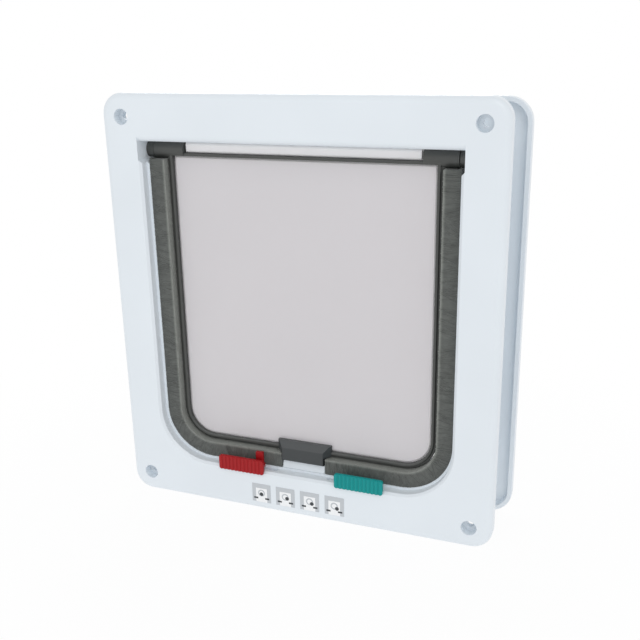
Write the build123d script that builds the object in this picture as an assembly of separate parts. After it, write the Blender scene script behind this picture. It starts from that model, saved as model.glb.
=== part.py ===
"""Four-way cat flap for a house door.

An indoor frame with a tunnel carries a clear flap on two hinge pins.  An outdoor frame
slides over the tunnel from the other side of the door.  Pile seals close the gap round the
flap, a pair of magnets centres it, and two sliders in the sill lock it inwards and outwards.

Millimetres.  +X is to the right seen from indoors, +Y points outdoors, +Z is up.
While the pieces are made, y = 0 is the indoor face and z = 0 is the edge that it stands on.
"""
import os

from build123d import *

# Frames
FRAME_HEIGHT = 252.0       # indoor frame
FRONT_WIDTH = 234.0
FRONT_CORNER = 12.0        # corner radius of the indoor frame
FRONT_THICK = 9.0          # depth of the indoor frame's rim
FRONT_EDGE = 4.0           # rounding of its outer front edge
REAR_LAP = 3.8             # outdoor frame past the indoor one on each side
REAR_DROP = 3.2            # its top, down from the indoor frame's
REAR_CORNER = 14.0
REAR_THICK = 8.0
REAR_EDGE = 2.4            # bevel of its outer back edge
DEPTH = 54.0               # indoor face to outdoor face
WALL = 2.8                 # moulded wall
HOLLOW_CORNER = 0.5        # least corner radius of a hollow
RIB = 1.6                  # stiffening rib
RIB_INSET = 1.2            # ribs stop short of the rim that clamps the door
RIBS_ACROSS = 5            # ribs on each upright side
RIBS_UP = 4                # ribs along the top and along the bottom

# Tunnel through the door
SIDE_BORDER = 25.3         # tunnel wall, in from the indoor frame's sides
TOP_BORDER = 26.8          # tunnel ceiling, down from the frame's top
SILL = 28.1                # height of the tunnel floor
BORE_CORNER = 30.0         # lower corners of the tunnel
TUNNEL_WALL = 2.5
TUNNEL_END = 34.0          # indoor tunnel reaches this far from the indoor face
OVERLAP = 4.0              # nesting of the outdoor collar over the tunnel
NEST_GAP = 0.3
LIP_STEP = 1.3             # the mouth is this much wider than the tunnel
LIP_DEPTH = 6.9
MOUTH_EDGE = 1.4           # bevel of the mouth's sides and sill
TOP_EDGE = 3.5             # fuller rounding along the mouth's top

# Corner screws through the door
SCREW_INSET = 13.1         # screws, in from the indoor frame's edges
SCREW_HOLE = 4.5
HEAD_RECESS = 9.0          # recess for the screw head
HEAD_DEPTH = 5.6
BOSS_WALL = 2.2
PILOT_HOLE = 3.2           # pilot in the outdoor frame's boss
PILOT_DEPTH = 6.0

# Hinge
HINGE_DEPTH = 14.5         # axis, back from the indoor face
HINGE_DROP = 5.6           # axis, down from the tunnel ceiling
HUB_RADIUS = 5.1
HUB_INSET = 2.0            # outer end of each hub, in from the tunnel wall
HUB_LENGTH = 19.0
HUB_GAP = 0.3              # hub to bush
NECK_GAP = 1.2             # hub to the clear panel's upper edge
PIN_RADIUS = 1.5
PIN_GRIP = 10.0            # length of pin held in the hub
PIN_FIT = 0.02             # pin fixed in the hub
PIN_RUNNING = 0.05         # pin turning in the bush
BUSH_RADIUS = 4.8
BUSH_FIT = 0.05            # bush fixed in the pocket's wall
BUSH_ROOM = 0.2            # bush to the pocket's foot
POCKET_STEP = 3.0          # hinge pockets reach this far past the tunnel wall
POCKET_ROOM = 1.4          # room behind the hubs

# Flap
SEAL_GAP = 0.5             # flap edge to pile
PILE = 9.4                 # length of the pile
PILE_AHEAD = 7.3           # front of the pile, ahead of the hinge axis
PILE_DEPTH = 8.0
PILE_STOP = 0.5            # pile ends this far below the hubs
PILE_SEAT = 0.1            # strip to tunnel wall
RIM_WIDTH = 3.4
RIM_AHEAD = 2.7            # front of the rim, ahead of the hinge axis
RIM_THICK = 5.7
BEAD_WIDTH = 1.7           # raised bead on the inner edge of the rim
BEAD_HEIGHT = 1.3
RAIL_HEIGHT = 1.6          # rail across the top of the flap
RAIL_DROP = 1.6            # top of the rail, down from the hinge axis
PANEL_THICK = 2.4
PANEL_GRIP = 1.6           # panel held in the rim's groove
GROOVE_FIT = 0.05
FIELD_RISE = 1.0           # raised field on the panel's front
FIELD_GAP = 0.3            # field to rim
FIELD_EDGE = 0.9           # bevel round the field
CLEAR = 0.1                # seats between pieces of the flap
HINGE_BEAD_HEIGHT = 6.0    # thick upper edge of the clear panel
HINGE_BEAD_DEPTH = 5.8
HINGE_BEAD_EDGE = 1.6

# Magnets
HOLDER_WIDTH = 26.6        # front of the holder
HOLDER_FLARE = 4.0         # holder wider by this much on each side where it meets the rim
HOLDER_LIFT = 0.8          # wider part, up from the flap's lower edge
HOLDER_AHEAD = 8.5         # front of the holder, ahead of the hinge axis
HOLDER_GAP = 0.9           # holder to the pile beside it
HOLDER_DROP = 4.6          # holder below the rim
HOLDER_RISE = 3.9          # holder above the rim's inner edge
HOLDER_SLOPE = 3.4
HOLDER_EDGE = 1.0
FLAP_MAGNET = (16.0, 5.0, 2.4)
SILL_MAGNET = (14.0, 6.0, 4.0)
MAGNET_FIT = 0.05
POCKET_WALL = 1.8

# Sliders
SLIDER_X = 38.0            # middle of each knob, from the middle
KNOB_LENGTH = 30.0
KNOB_RISE = 6.1            # knob above the tunnel floor
KNOB_DROP = 3.1            # knob below the tunnel floor
KNOB_CORNER = 1.4
KNOB_PROUD = 1.6           # knob in front of the indoor face
KNOB_BACK = 0.6            # back of the knob, behind the indoor face
GRIP_COUNT = 11            # grooves for the thumb
GRIP_WIDTH = 1.0
GRIP_DEPTH = 0.4
SHELF_INSET = 2.0          # shelf, in from the ends of the knob
SHELF_BACK = 6.4
SHELF_HEIGHT = 2.8
STEM_LENGTH = 13.0
STEM_THICK = 1.8
SLOT_DEPTH = 5.0           # middle of the slots, back from the indoor face
SLIDE_GAP = 0.3
CARRIAGE_HEIGHT = 2.2
CARRIAGE_LAP = 1.0         # carriage past the slot's edges
FINGER_WIDTH = 4.6
FINGER_THICK = 2.2
FINGER_INSET = 10.4        # finger, from the knob's middle towards the magnets
FINGER_GAP = 0.4           # finger to flap
TRAVEL = 15.0              # from free to locked

# Derived places
SIDES = (-1, 1)
REAR_WIDTH = FRONT_WIDTH + 2 * REAR_LAP
REAR_HEIGHT = FRAME_HEIGHT - REAR_DROP
MID_Z = FRAME_HEIGHT / 2
BORE_HALF = FRONT_WIDTH / 2 - SIDE_BORDER
CEILING = FRAME_HEIGHT - TOP_BORDER
HINGE_Z = CEILING - HINGE_DROP
HUB_END = BORE_HALF - HUB_INSET
HUB_START = HUB_END - HUB_LENGTH
PIN_START = HUB_END - PIN_GRIP
POCKET_HALF = BORE_HALF + POCKET_STEP
POCKET_LOW = HINGE_Z - BUSH_RADIUS - BUSH_ROOM
POCKET_BACK = HINGE_DEPTH + HUB_RADIUS + POCKET_ROOM
PILE_FRONT = HINGE_DEPTH - PILE_AHEAD
PILE_TOP = HINGE_Z - HUB_RADIUS - PILE_STOP
PILE_INNER = PILE + PILE_SEAT
PILE_BREAK = HOLDER_WIDTH / 2 + HOLDER_GAP
FLAP_INSET = PILE_INNER + SEAL_GAP
FLAP_HALF = BORE_HALF - FLAP_INSET
FLAP_LOW = SILL + FLAP_INSET
FLAP_CORNER = BORE_CORNER - FLAP_INSET
RIM_FRONT = HINGE_DEPTH - RIM_AHEAD
RIM_BACK = RIM_FRONT + RIM_THICK
BEAD_FRONT = RIM_FRONT - BEAD_HEIGHT
PANEL_FRONT = HINGE_DEPTH - PANEL_THICK / 2
FIELD_FRONT = PANEL_FRONT - FIELD_RISE
RAIL_TOP = HINGE_Z - RAIL_DROP
RAIL_LOW = RAIL_TOP - RAIL_HEIGHT
HOLDER_FRONT = HINGE_DEPTH - HOLDER_AHEAD
HOLDER_BACK = RIM_BACK + CLEAR
HOLDER_LOW = FLAP_LOW - HOLDER_DROP
KNOB_TOP = SILL + KNOB_RISE
KNOB_LOW = SILL - KNOB_DROP
LIP_FLOOR = SILL - LIP_STEP
LIP_UNDER = LIP_FLOOR - TUNNEL_WALL
SHELF_LOW = LIP_FLOOR + SLIDE_GAP
SHELF_TOP = SHELF_LOW + SHELF_HEIGHT
SLOT_WIDTH = STEM_THICK + 2 * SLIDE_GAP
SLOT_LAP = SLOT_DEPTH + SLOT_WIDTH / 2 + CARRIAGE_LAP
CARRIAGE_TOP = LIP_UNDER - SLIDE_GAP
CARRIAGE_LOW = CARRIAGE_TOP - CARRIAGE_HEIGHT
CARRIAGE_FRONT = WALL + SLIDE_GAP
FINGER_TOP = FLAP_LOW - FINGER_GAP
FRONT_FINGER = HOLDER_FRONT - FINGER_GAP - FINGER_THICK
REAR_FINGER = HOLDER_BACK + FINGER_GAP
REAR_FRONT = DEPTH - REAR_THICK
ORIGIN_DEPTH = (DEPTH - KNOB_PROUD) / 2
BIG = 2 * REAR_WIDTH       # longer than any piece, for cutting
PAST = 1.0                 # cuts run this far past a face


def slab(outline, front, depth):
    """Extrude an outline drawn in X and Z, from a depth behind the indoor face towards outdoors."""
    return extrude(Plane.XZ.offset(-front) * outline, amount=-depth)


def block(x, y, z):
    """A box from its lower and upper limits along X, Y and Z."""
    size = [high - low for low, high in (x, y, z)]
    middle = [(high + low) / 2 for low, high in (x, y, z)]
    return Pos(*middle) * Box(*size)


def rod_x(radius, start, end, depth, height):
    """A round bar along X."""
    return Pos((start + end) / 2, depth, height) * Rot(0, 90, 0) * Cylinder(radius, end - start)


def rod_y(radius, x, z, front, back):
    """A round bar along Y."""
    return Pos(x, (front + back) / 2, z) * Rot(90, 0, 0) * Cylinder(radius, back - front)


def plate(width, height, corner, inset=0.0):
    """Outline of a frame, drawn inwards by an inset."""
    size = (width - 2 * inset, height - 2 * inset)
    return Pos(0, height / 2) * RectangleRounded(*size, max(corner - inset, HOLLOW_CORNER))


def arch(half, low, high, corner):
    """An outline with square upper corners and round lower ones."""
    outline = Pos(0, (low + high) / 2) * Rectangle(2 * half, high - low)
    return fillet(outline.vertices().sort_by(Axis.Y)[:2], corner)


def passage(grow=0.0, rise=None):
    """Section of the tunnel, grown outwards or shrunk, by another distance at the ceiling if given."""
    rise = grow if rise is None else rise
    return arch(BORE_HALF + grow, SILL - grow, CEILING + rise, BORE_CORNER + grow)


def flap_outline(inset, top):
    """Outline of the flap, drawn inwards by an inset, with a straight top at a height."""
    return arch(FLAP_HALF - inset, FLAP_LOW + inset, top, FLAP_CORNER - inset)


def screw_places():
    """The four corner screws, as X and Z."""
    for side in SIDES:
        for end in SIDES:
            yield side * (FRONT_WIDTH / 2 - SCREW_INSET), MID_Z + end * (MID_Z - SCREW_INSET)


def rib_outline(hollow, core):
    """Ribs that join a frame's outer wall to the tunnel wall, as one flat pattern."""
    area = hollow.bounding_box().size
    across = GridLocations(0, area.Y / (RIBS_ACROSS + 1), 1, RIBS_ACROSS)
    upright = GridLocations(area.X / (RIBS_UP + 1), 0, RIBS_UP, 1)
    bars = Sketch() + across * Rectangle(area.X, RIB) + upright * Rectangle(RIB, area.Y)
    return (Pos(0, MID_Z) * bars & hollow) - core


def pocket_outline():
    """Hinge pockets in both upper corners of the mouth, with a sloping lower step."""
    inner = BORE_HALF - POCKET_STEP
    foot = POCKET_LOW - POCKET_STEP
    corner = [
        (inner, foot),
        (BORE_HALF, foot),
        (POCKET_HALF, POCKET_LOW),
        (POCKET_HALF, CEILING),
        (inner, CEILING),
    ]
    other = [(-x, z) for x, z in reversed(corner)]
    return Polygon(*corner, align=None) + Polygon(*other, align=None)


def top_rounding():
    """What the fuller rounding takes off along the top of the mouth and its hinge pockets."""
    middle = CEILING + TOP_EDGE
    edge = block((-POCKET_HALF, POCKET_HALF), (-PAST, TOP_EDGE), (CEILING - PAST, middle))
    return edge - rod_x(TOP_EDGE, -BIG, BIG, TOP_EDGE, middle)


def slot(side, width, start, end, middle):
    """A slot through the tunnel floor, from a start to an end away from the middle of the sill."""
    span = sorted((side * start, side * end))
    return block(span, (middle - width / 2, middle + width / 2), (CARRIAGE_LOW, SILL + PAST))


def sill_slots():
    """Slots for both slider stems, and the one that the rear finger rises through."""
    stem_in = SLIDER_X - STEM_LENGTH / 2 - TRAVEL - SLIDE_GAP
    stem_out = SLIDER_X + STEM_LENGTH / 2 + SLIDE_GAP
    finger = SLIDER_X - FINGER_INSET
    finger_in = finger - FINGER_WIDTH / 2 - TRAVEL - SLIDE_GAP
    finger_out = finger + FINGER_WIDTH / 2 + SLIDE_GAP
    rear_middle = REAR_FINGER + FINGER_THICK / 2
    cuts = [slot(side, SLOT_WIDTH, stem_in, stem_out, SLOT_DEPTH) for side in SIDES]
    cuts.append(slot(1, FINGER_THICK + 2 * SLIDE_GAP, finger_in, finger_out, rear_middle))
    return cuts


def sill_magnet_place(fit=0.0):
    """Space of the magnet under the tunnel floor, open underneath, with a fit round it."""
    length, width, height = SILL_MAGNET
    top = SILL - TUNNEL_WALL - MAGNET_FIT + fit
    return block(
        (-length / 2 - fit, length / 2 + fit),
        (HINGE_DEPTH - width / 2 - fit, HINGE_DEPTH + width / 2 + fit),
        (top - height - fit, top),
    )


def make_front_frame():
    """Indoor frame: a shallow dish with a tunnel, hinge pockets, screw recesses and slider slots."""
    shell = slab(plate(FRONT_WIDTH, FRAME_HEIGHT, FRONT_CORNER), 0, FRONT_THICK)
    shell = fillet(shell.faces().sort_by(Axis.Y)[0].edges(), FRONT_EDGE)
    hollow = plate(FRONT_WIDTH, FRAME_HEIGHT, FRONT_CORNER, WALL)
    shell -= slab(hollow, WALL, FRONT_THICK)
    mouth = passage(LIP_STEP, 0)
    shell -= slab(mouth, 0, FRONT_THICK)
    mouth_edges = shell.faces().sort_by(Axis.Y)[0].inner_wires().edges()
    shell = chamfer(mouth_edges, MOUTH_EDGE)
    core = passage(LIP_STEP + TUNNEL_WALL, TUNNEL_WALL)
    ribs = slab(rib_outline(hollow, core), WALL, FRONT_THICK - WALL - RIB_INSET)
    slider_way = block((-BIG, BIG), (WALL, FRONT_THICK), (CARRIAGE_LOW - 2 * SLIDE_GAP, SILL))
    frame = shell + (ribs - slider_way)
    frame += slab(core, MOUTH_EDGE, FRONT_THICK - MOUTH_EDGE)
    frame += slab(passage(TUNNEL_WALL), MOUTH_EDGE, TUNNEL_END - MOUTH_EDGE)
    pocket_height = (POCKET_LOW - POCKET_STEP - TUNNEL_WALL, CEILING + TUNNEL_WALL)
    for side in SIDES:
        wall = sorted((side * BORE_HALF, side * (POCKET_HALF + WALL)))
        frame += block(wall, (MOUTH_EDGE, POCKET_BACK + TUNNEL_WALL), pocket_height)
    boss_radius = HEAD_RECESS / 2 + BOSS_WALL
    for x, z in screw_places():
        frame += rod_y(boss_radius, x, z, WALL / 2, FRONT_THICK)
    sill_pocket = sill_magnet_place(POCKET_WALL)
    frame += sill_pocket & block((-BIG, BIG), (0, TUNNEL_END), (0, SILL))
    frame -= slab(passage(), 0, TUNNEL_END + PAST)
    frame -= slab(mouth, 0, LIP_DEPTH)
    frame -= slab(pocket_outline(), 0, POCKET_BACK)
    frame -= top_rounding()
    for side in SIDES:
        wall = sorted((side * BORE_HALF, side * (POCKET_HALF + 2 * WALL)))
        frame -= rod_x(BUSH_RADIUS + BUSH_FIT, *wall, HINGE_DEPTH, HINGE_Z)
    for x, z in screw_places():
        frame -= rod_y(HEAD_RECESS / 2, x, z, -PAST, HEAD_DEPTH)
        frame -= rod_y(SCREW_HOLE / 2, x, z, 0, FRONT_THICK + PAST)
    for cut in sill_slots():
        frame -= cut
    magnet_mouth = sill_magnet_place(MAGNET_FIT)
    frame -= magnet_mouth + Pos(0, 0, -POCKET_WALL) * magnet_mouth
    return frame


def make_rear_frame():
    """Outdoor frame: a dish facing the door, with a collar over the tunnel and screw bosses."""
    shell = slab(plate(REAR_WIDTH, REAR_HEIGHT, REAR_CORNER), REAR_FRONT, REAR_THICK)
    shell = chamfer(shell.faces().sort_by(Axis.Y)[-1].edges(), REAR_EDGE)
    hollow = plate(REAR_WIDTH, REAR_HEIGHT, REAR_CORNER, WALL)
    shell -= slab(hollow, REAR_FRONT, REAR_THICK - WALL)
    bore = TUNNEL_WALL + NEST_GAP
    shell -= slab(passage(bore), REAR_FRONT, REAR_THICK)
    shell = chamfer(shell.faces().sort_by(Axis.Y)[-1].inner_wires().edges(), MOUTH_EDGE)
    collar_start = TUNNEL_END - OVERLAP
    frame = shell + slab(passage(bore + TUNNEL_WALL), collar_start, DEPTH - MOUTH_EDGE - collar_start)
    for x, z in screw_places():
        frame += rod_y(PILOT_HOLE / 2 + BOSS_WALL, x, z, REAR_FRONT, DEPTH - WALL / 2)
    frame -= slab(passage(bore), collar_start - PAST, DEPTH - collar_start + 2 * PAST)
    for x, z in screw_places():
        frame -= rod_y(PILOT_HOLE / 2, x, z, REAR_FRONT - PAST, REAR_FRONT + PILOT_DEPTH)
    return frame


def make_flap_frame():
    """Dark surround of the flap: a grooved rim, a rail and the two hinge hubs in one moulding."""
    window = flap_outline(RIM_WIDTH, HINGE_Z + HUB_RADIUS)
    rim = slab(flap_outline(0, HINGE_Z), RIM_FRONT, RIM_THICK)
    rim += slab(flap_outline(RIM_WIDTH - BEAD_WIDTH, HINGE_Z), BEAD_FRONT, BEAD_HEIGHT)
    rim -= slab(window, 0, DEPTH)
    groove = flap_outline(RIM_WIDTH - PANEL_GRIP - GROOVE_FIT, HINGE_Z)
    rim -= slab(groove, PANEL_FRONT - GROOVE_FIT, PANEL_THICK + 2 * GROOVE_FIT)
    rail_half = FLAP_HALF - RIM_WIDTH / 2
    rim += block((-rail_half, rail_half), (BEAD_FRONT, PANEL_FRONT - CLEAR), (RAIL_LOW, RAIL_TOP))
    for side in SIDES:
        hub = sorted((side * HUB_START, side * HUB_END))
        hole = sorted((side * (PIN_START - CLEAR), side * (HUB_END + CLEAR)))
        rim += rod_x(HUB_RADIUS, *hub, HINGE_DEPTH, HINGE_Z)
        rim -= rod_x(PIN_RADIUS + PIN_FIT, *hole, HINGE_DEPTH, HINGE_Z)
    return rim - slab(flap_outline(RIM_WIDTH, RAIL_LOW), 0, DEPTH)


def make_flap_panel():
    """Clear panel: a sheet held in the rim, with a raised field and a thick bead between the hubs."""
    shoulder = HINGE_Z - HUB_RADIUS - CLEAR
    neck_half = HUB_START - NECK_GAP
    bead_low = RAIL_TOP + CLEAR
    bead_top = bead_low + HINGE_BEAD_HEIGHT
    sheet = flap_outline(RIM_WIDTH - PANEL_GRIP, shoulder)
    sheet += flap_outline(RIM_WIDTH + CLEAR, RAIL_LOW - CLEAR)
    sheet += Pos(0, (shoulder + bead_top) / 2) * Rectangle(2 * neck_half, bead_top - shoulder)
    field = slab(flap_outline(RIM_WIDTH + FIELD_GAP, RAIL_LOW - FIELD_GAP), FIELD_FRONT, FIELD_RISE)
    field = chamfer(field.faces().sort_by(Axis.Y)[0].edges(), FIELD_EDGE)
    bead = block(
        (-neck_half, neck_half),
        (HINGE_DEPTH - HINGE_BEAD_DEPTH / 2, HINGE_DEPTH + HINGE_BEAD_DEPTH / 2),
        (bead_low, bead_top),
    )
    bead = fillet(bead.edges().filter_by(Axis.X), HINGE_BEAD_EDGE)
    return slab(sheet, PANEL_FRONT, PANEL_THICK) + field + bead


def make_hinge_pin(side):
    """Steel pin fixed in a hub, which turns in the bush beside it."""
    return rod_x(PIN_RADIUS, *sorted((side * PIN_START, side * (POCKET_HALF + WALL))), HINGE_DEPTH, HINGE_Z)


def make_hinge_bush(side):
    """Bush pressed through the pocket's wall, whose inner end keeps the hub in place."""
    length = sorted((side * (HUB_END + HUB_GAP), side * (POCKET_HALF + WALL)))
    bush = rod_x(BUSH_RADIUS, *length, HINGE_DEPTH, HINGE_Z)
    return bush - rod_x(PIN_RADIUS + PIN_RUNNING, *length, HINGE_DEPTH, HINGE_Z)


def make_brush_strip(side):
    """Pile seal down one side of the tunnel and round its lower corner to the magnet holder."""
    ring = slab(passage(-PILE_SEAT) - passage(-PILE_INNER), PILE_FRONT, PILE_DEPTH)
    limit = sorted((side * PILE_BREAK, side * BORE_HALF))
    return ring & block(limit, (0, DEPTH), (0, PILE_TOP))


def make_magnet_holder():
    """Holder clipped round the flap's lower rim, with a pocket for the magnet underneath."""
    inner_edge = FLAP_LOW + RIM_WIDTH + CLEAR
    top = inner_edge + HOLDER_RISE
    section = Polygon(
        (HOLDER_FRONT, HOLDER_LOW),
        (HOLDER_FRONT, top - HOLDER_SLOPE),
        (HOLDER_FRONT + HOLDER_SLOPE, top),
        (FIELD_FRONT - CLEAR, top),
        (FIELD_FRONT - CLEAR, inner_edge),
        (BEAD_FRONT - CLEAR, inner_edge),
        (BEAD_FRONT - CLEAR, FLAP_LOW - CLEAR),
        (HOLDER_BACK, FLAP_LOW - CLEAR),
        (HOLDER_BACK, HOLDER_LOW),
        align=None,
    )
    front_half = HOLDER_WIDTH / 2
    back_half = front_half + HOLDER_FLARE
    holder = extrude(Plane.YZ * section, amount=back_half, both=True)
    front_edges = holder.edges().filter_by(Axis.X).sort_by(Axis.Y)[:3]
    holder = fillet(front_edges, HOLDER_EDGE)
    plan = [
        (-front_half, HOLDER_FRONT),
        (front_half, HOLDER_FRONT),
        (back_half, BEAD_FRONT - CLEAR),
        (back_half, HOLDER_BACK),
        (-back_half, HOLDER_BACK),
        (-back_half, BEAD_FRONT - CLEAR),
    ]
    holder &= extrude(Polygon(*plan, align=None), amount=FRAME_HEIGHT)
    for side in SIDES:
        ear = sorted((side * front_half, side * (back_half + PAST)))
        holder -= block(ear, (0, DEPTH), (0, FLAP_LOW + HOLDER_LIFT))
    return holder - flap_magnet_place(MAGNET_FIT)


def flap_magnet_place(fit=0.0):
    """Space of the magnet in the holder, open underneath, grown by a fit."""
    length, width, height = FLAP_MAGNET
    return block(
        (-length / 2 - fit, length / 2 + fit),
        (HINGE_DEPTH - width / 2 - fit, HINGE_DEPTH + width / 2 + fit),
        (HOLDER_LOW, HOLDER_LOW + height + fit),
    )


def make_slider(side, finger_front, finger_foot, carriage_back):
    """Slider in the sill: ribbed knob, shelf on the lip, stem, carriage below and locking finger."""
    middle = side * SLIDER_X
    finger = side * (SLIDER_X - FINGER_INSET)
    length = (middle - KNOB_LENGTH / 2, middle + KNOB_LENGTH / 2)
    face = Pos(middle, (KNOB_LOW + KNOB_TOP) / 2) * RectangleRounded(
        KNOB_LENGTH, KNOB_TOP - KNOB_LOW, KNOB_CORNER
    )
    knob = slab(face, -KNOB_PROUD, KNOB_PROUD + KNOB_BACK)
    knob -= block((-BIG, BIG), (-SLIDE_GAP, DEPTH), (0, SHELF_LOW))
    pitch = KNOB_LENGTH / (GRIP_COUNT + 1)
    for index in range(1, GRIP_COUNT + 1):
        groove = length[0] + index * pitch
        span = (groove - GRIP_WIDTH / 2, groove + GRIP_WIDTH / 2)
        knob -= block(span, (-BIG, -KNOB_PROUD + GRIP_DEPTH), (0, FRAME_HEIGHT))
    shelf = (length[0] + SHELF_INSET, length[1] - SHELF_INSET)
    slider = knob + block(shelf, (0, SHELF_BACK), (SHELF_LOW, SHELF_TOP))
    stem = (middle - STEM_LENGTH / 2, middle + STEM_LENGTH / 2)
    stem_depth = (SLOT_DEPTH - STEM_THICK / 2, SLOT_DEPTH + STEM_THICK / 2)
    slider += block(stem, stem_depth, (CARRIAGE_LOW, SHELF_TOP))
    finger_span = (finger - FINGER_WIDTH / 2, finger + FINGER_WIDTH / 2)
    carriage = (min(stem + finger_span), max(stem + finger_span))
    slider += block(carriage, (CARRIAGE_FRONT, carriage_back), (CARRIAGE_LOW, CARRIAGE_TOP))
    finger_depth = (finger_front, finger_front + FINGER_THICK)
    return slider + block(finger_span, finger_depth, (finger_foot, FINGER_TOP))


def make_parts():
    """Every piece by name."""
    return {
        "front_frame": make_front_frame(),
        "rear_frame": make_rear_frame(),
        "flap_frame": make_flap_frame(),
        "flap_panel": make_flap_panel(),
        "hinge_pin_left": make_hinge_pin(-1),
        "hinge_pin_right": make_hinge_pin(1),
        "hinge_bush_left": make_hinge_bush(-1),
        "hinge_bush_right": make_hinge_bush(1),
        "brush_strip_left": make_brush_strip(-1),
        "brush_strip_right": make_brush_strip(1),
        "magnet_holder": make_magnet_holder(),
        "flap_magnet": flap_magnet_place(),
        "sill_magnet": sill_magnet_place(),
        "red_slider": make_slider(-1, FRONT_FINGER, SHELF_LOW, SLOT_LAP),
        "green_slider": make_slider(1, REAR_FINGER, CARRIAGE_LOW, REAR_FINGER + FINGER_THICK),
    }


os.makedirs("parts", exist_ok=True)
to_origin = Pos(0, -ORIGIN_DEPTH, 0)
for name, piece in make_parts().items():
    export_step(to_origin * piece, f"parts/{name}.step")
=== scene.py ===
"""Looks of a four-way cat flap: moulded finishes, eased edges, the sill's magnet housing, pile seals, sign
tiles and a plain studio.

Metres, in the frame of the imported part: +X right seen from indoors, +Y outdoors, +Z up from the
edge that the flap stands on.
"""

import math
import random

import bmesh
import bpy
from mathutils import Matrix, Vector


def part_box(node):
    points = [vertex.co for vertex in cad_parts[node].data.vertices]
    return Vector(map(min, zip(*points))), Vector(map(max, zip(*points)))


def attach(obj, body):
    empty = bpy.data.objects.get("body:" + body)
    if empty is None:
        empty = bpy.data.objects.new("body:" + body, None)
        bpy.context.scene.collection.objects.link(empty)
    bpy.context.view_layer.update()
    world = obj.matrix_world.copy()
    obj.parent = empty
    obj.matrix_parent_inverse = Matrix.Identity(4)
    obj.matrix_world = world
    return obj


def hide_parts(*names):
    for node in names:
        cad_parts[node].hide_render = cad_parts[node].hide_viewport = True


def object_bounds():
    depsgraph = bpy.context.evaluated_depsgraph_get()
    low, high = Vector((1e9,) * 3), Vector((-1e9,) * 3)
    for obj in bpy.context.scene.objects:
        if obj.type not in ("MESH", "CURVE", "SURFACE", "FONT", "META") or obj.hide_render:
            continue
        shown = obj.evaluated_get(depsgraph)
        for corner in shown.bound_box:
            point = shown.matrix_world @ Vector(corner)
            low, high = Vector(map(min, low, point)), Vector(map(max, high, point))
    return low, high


bl_info = {
    "name": "Cat Flap Looks",
    "version": (1, 0, 0),
    "blender": (4, 5, 0),
    "location": "View3D > Sidebar > Cat Flap",
    "description": "Dresses the packed cat flap with its finishes, magnet housing, pile seals and sign tiles",
    "category": "Object",
}

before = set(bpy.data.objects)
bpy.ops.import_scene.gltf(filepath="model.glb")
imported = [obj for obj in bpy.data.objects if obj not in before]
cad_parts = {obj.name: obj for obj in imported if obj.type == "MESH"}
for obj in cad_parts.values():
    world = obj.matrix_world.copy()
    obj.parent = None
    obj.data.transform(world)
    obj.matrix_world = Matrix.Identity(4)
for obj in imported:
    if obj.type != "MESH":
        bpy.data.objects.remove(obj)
CAD_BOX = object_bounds()
MM = 0.001
SIDES = {"left": -1, "right": 1}

# Photograph's camera, in the part's frame
CAMERA_PLACE = Vector((183.302, -458.600, 282.458)) * MM
CAMERA_AZIMUTH = math.radians(21.1956)
CAMERA_ELEVATION = math.radians(18.3030)
CAMERA_ROLL = math.radians(1.0716)
SENSOR = 36.0
LENS = 48.877

# Mesh cleaning
MERGE = 1e-6               # corners closer than this are one
FLAT = math.radians(0.5)   # faces that turn less than this are one
SHARP = math.radians(32)   # edges that turn more than this are moulded edges
SNAP = 0.05 * MM           # a cut closer than this to a corner goes through the corner


def linear(hex_colour):
    """Linear RGB of an sRGB hex value."""
    channels = [int(hex_colour[i:i + 2], 16) / 255 for i in (1, 3, 5)]
    return tuple(c / 12.92 if c <= 0.04045 else ((c + 0.055) / 1.055) ** 2.4 for c in channels)


def length_property(name, description, millimetres):
    """A length with its default in millimetres."""
    return bpy.props.FloatProperty(
        name=name, description=description, default=millimetres * MM, min=0.0,
        unit="LENGTH", subtype="DISTANCE", precision=5,
    )


def colour_property(name, description, hex_colour):
    """A colour with its default as an sRGB hex value."""
    return bpy.props.FloatVectorProperty(
        name=name, description=description, default=linear(hex_colour), size=3,
        min=0.0, max=1.0, subtype="COLOR",
    )


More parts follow.
